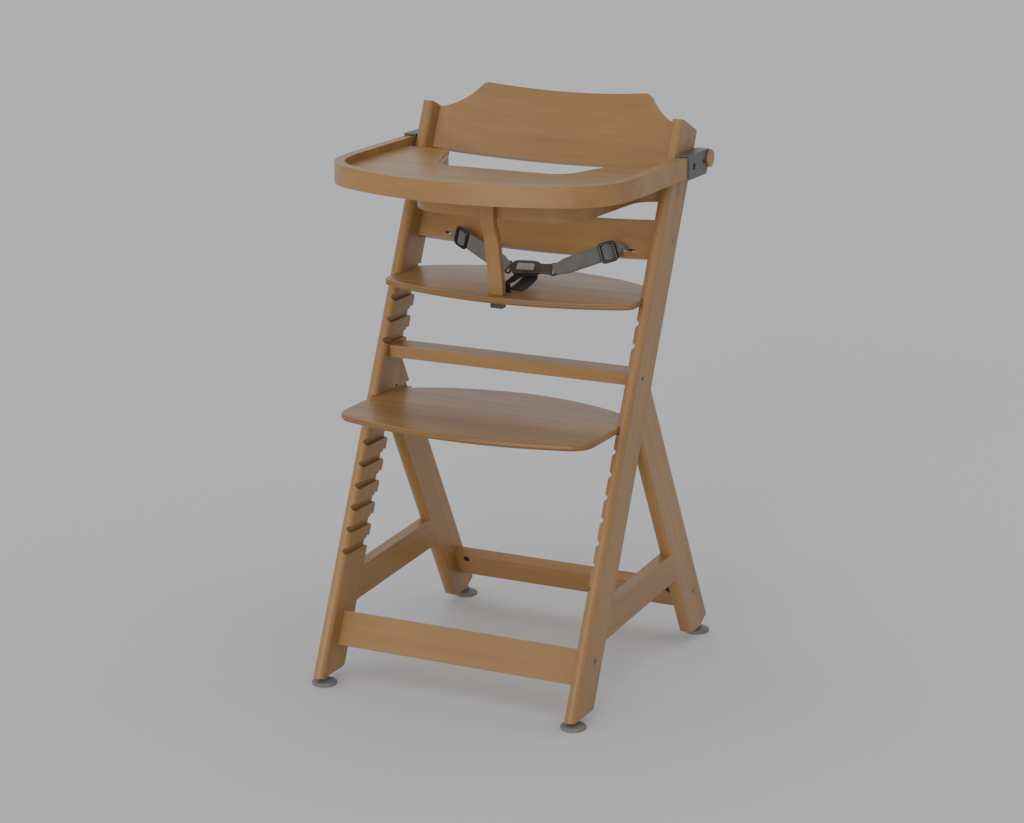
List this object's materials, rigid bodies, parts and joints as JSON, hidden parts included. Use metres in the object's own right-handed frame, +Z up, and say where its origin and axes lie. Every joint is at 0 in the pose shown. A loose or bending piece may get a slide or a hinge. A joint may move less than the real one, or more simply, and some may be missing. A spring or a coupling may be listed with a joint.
{
  "type": "high chair",
  "caption": "Wooden baby high chair with leaning grooved side frames, seat and footrest in grooves, curved back boards, belly bar, hook-on tray and lap harness.",
  "frame": {"origin": "middle of the footprint on the floor", "axes": "+Z up, -Y is the side the child faces"},
  "size_m": [0.44, 0.4626, 0.786],
  "materials": {
    "beech": "clear lacquered solid beech",
    "panel_ply": "clear lacquered beech plywood, thin dark glue lines on the edges",
    "bent_ply": "clear lacquered bent beech plywood",
    "bracket_steel": "grey satin coated sheet steel",
    "zinc_steel": "zinc plated",
    "dark_steel": "dark plated",
    "pad_plastic": "light grey plastic",
    "grey_plastic": "dark grey plastic",
    "brown_plastic": "brown-black plastic",
    "button_plastic": "light grey plastic",
    "grey_webbing": "ribbed grey webbing",
    "olive_webbing": "dark olive webbing"
  },
  "bodies": {
    "chair": {"left_post": "beech", "right_post": "beech", "left_rear_leg": "beech", "right_rear_leg": "beech", "left_strut": "beech", "right_strut": "beech", "front_rung": "beech", "rear_rung": "beech", "mid_rung": "beech", "lower_back_rail": "bent_ply", "backrest_board": "bent_ply", "seat_panel": "panel_ply", "belly_bar": "bent_ply", "crotch_post": "beech", "crotch_bolt": "dark_steel", "crotch_cap": "grey_plastic", "frame_bolts": "zinc_steel", "board_screws": "zinc_steel", "barrel_nuts": "zinc_steel", "left_strap": "grey_webbing", "right_strap": "grey_webbing", "crotch_strap": "olive_webbing", "left_slider": "grey_plastic", "right_slider": "grey_plastic", "strap_stops": "grey_plastic", "buckle_body": "brown_plastic", "left_tongue": "brown_plastic", "right_tongue": "brown_plastic"},
    "tray": {"tray_panel": "bent_ply", "tray_rim": "beech", "left_tray_bracket": "bracket_steel", "right_tray_bracket": "bracket_steel", "left_tray_peg": "beech", "right_tray_peg": "beech", "left_peg_cap": "beech", "right_peg_cap": "beech", "tray_screws": "dark_steel"},
    "footrest": {"footrest_panel": "panel_ply"},
    "button": {"buckle_button": "button_plastic"},
    "front_left_foot": {"front_left_pad": "pad_plastic", "front_left_stem": "zinc_steel"},
    "front_right_foot": {"front_right_pad": "pad_plastic", "front_right_stem": "zinc_steel"},
    "rear_left_foot": {"rear_left_pad": "pad_plastic", "rear_left_stem": "zinc_steel"},
    "rear_right_foot": {"rear_right_pad": "pad_plastic", "rear_right_stem": "zinc_steel"}
  },
  "joints": [
    {"name": "front_left_foot_turn", "type": "hinge", "parent": "chair", "child": "front_left_foot", "pos_m": [-0.1887, -0.21171, 0], "axis": [0, 0, 1], "continuous": true},
    {"name": "front_right_foot_turn", "type": "hinge", "parent": "chair", "child": "front_right_foot", "pos_m": [0.1887, -0.21171, 0], "axis": [0, 0, 1], "continuous": true},
    {"name": "rear_left_foot_turn", "type": "hinge", "parent": "chair", "child": "rear_left_foot", "pos_m": [-0.1887, 0.21429, 0], "axis": [0, 0, 1], "continuous": true},
    {"name": "rear_right_foot_turn", "type": "hinge", "parent": "chair", "child": "rear_right_foot", "pos_m": [0.1887, 0.21429, 0], "axis": [0, 0, 1], "continuous": true},
    {"name": "tray_lift", "type": "slide", "parent": "chair", "child": "tray", "axis": [0, 0.4088, 0.9126], "range_m": [0, 0.06]},
    {"name": "footrest_slide", "type": "slide", "parent": "chair", "child": "footrest", "axis": [0, 1, 0], "range_m": [0, 0.16]},
    {"name": "button_press", "type": "slide", "parent": "chair", "child": "button", "axis": [-0.0955, 0.7601, -0.6427], "range_m": [0, 0.0012], "stiffness_N_per_m": 400, "springref_m": -0.002}
  ]
}
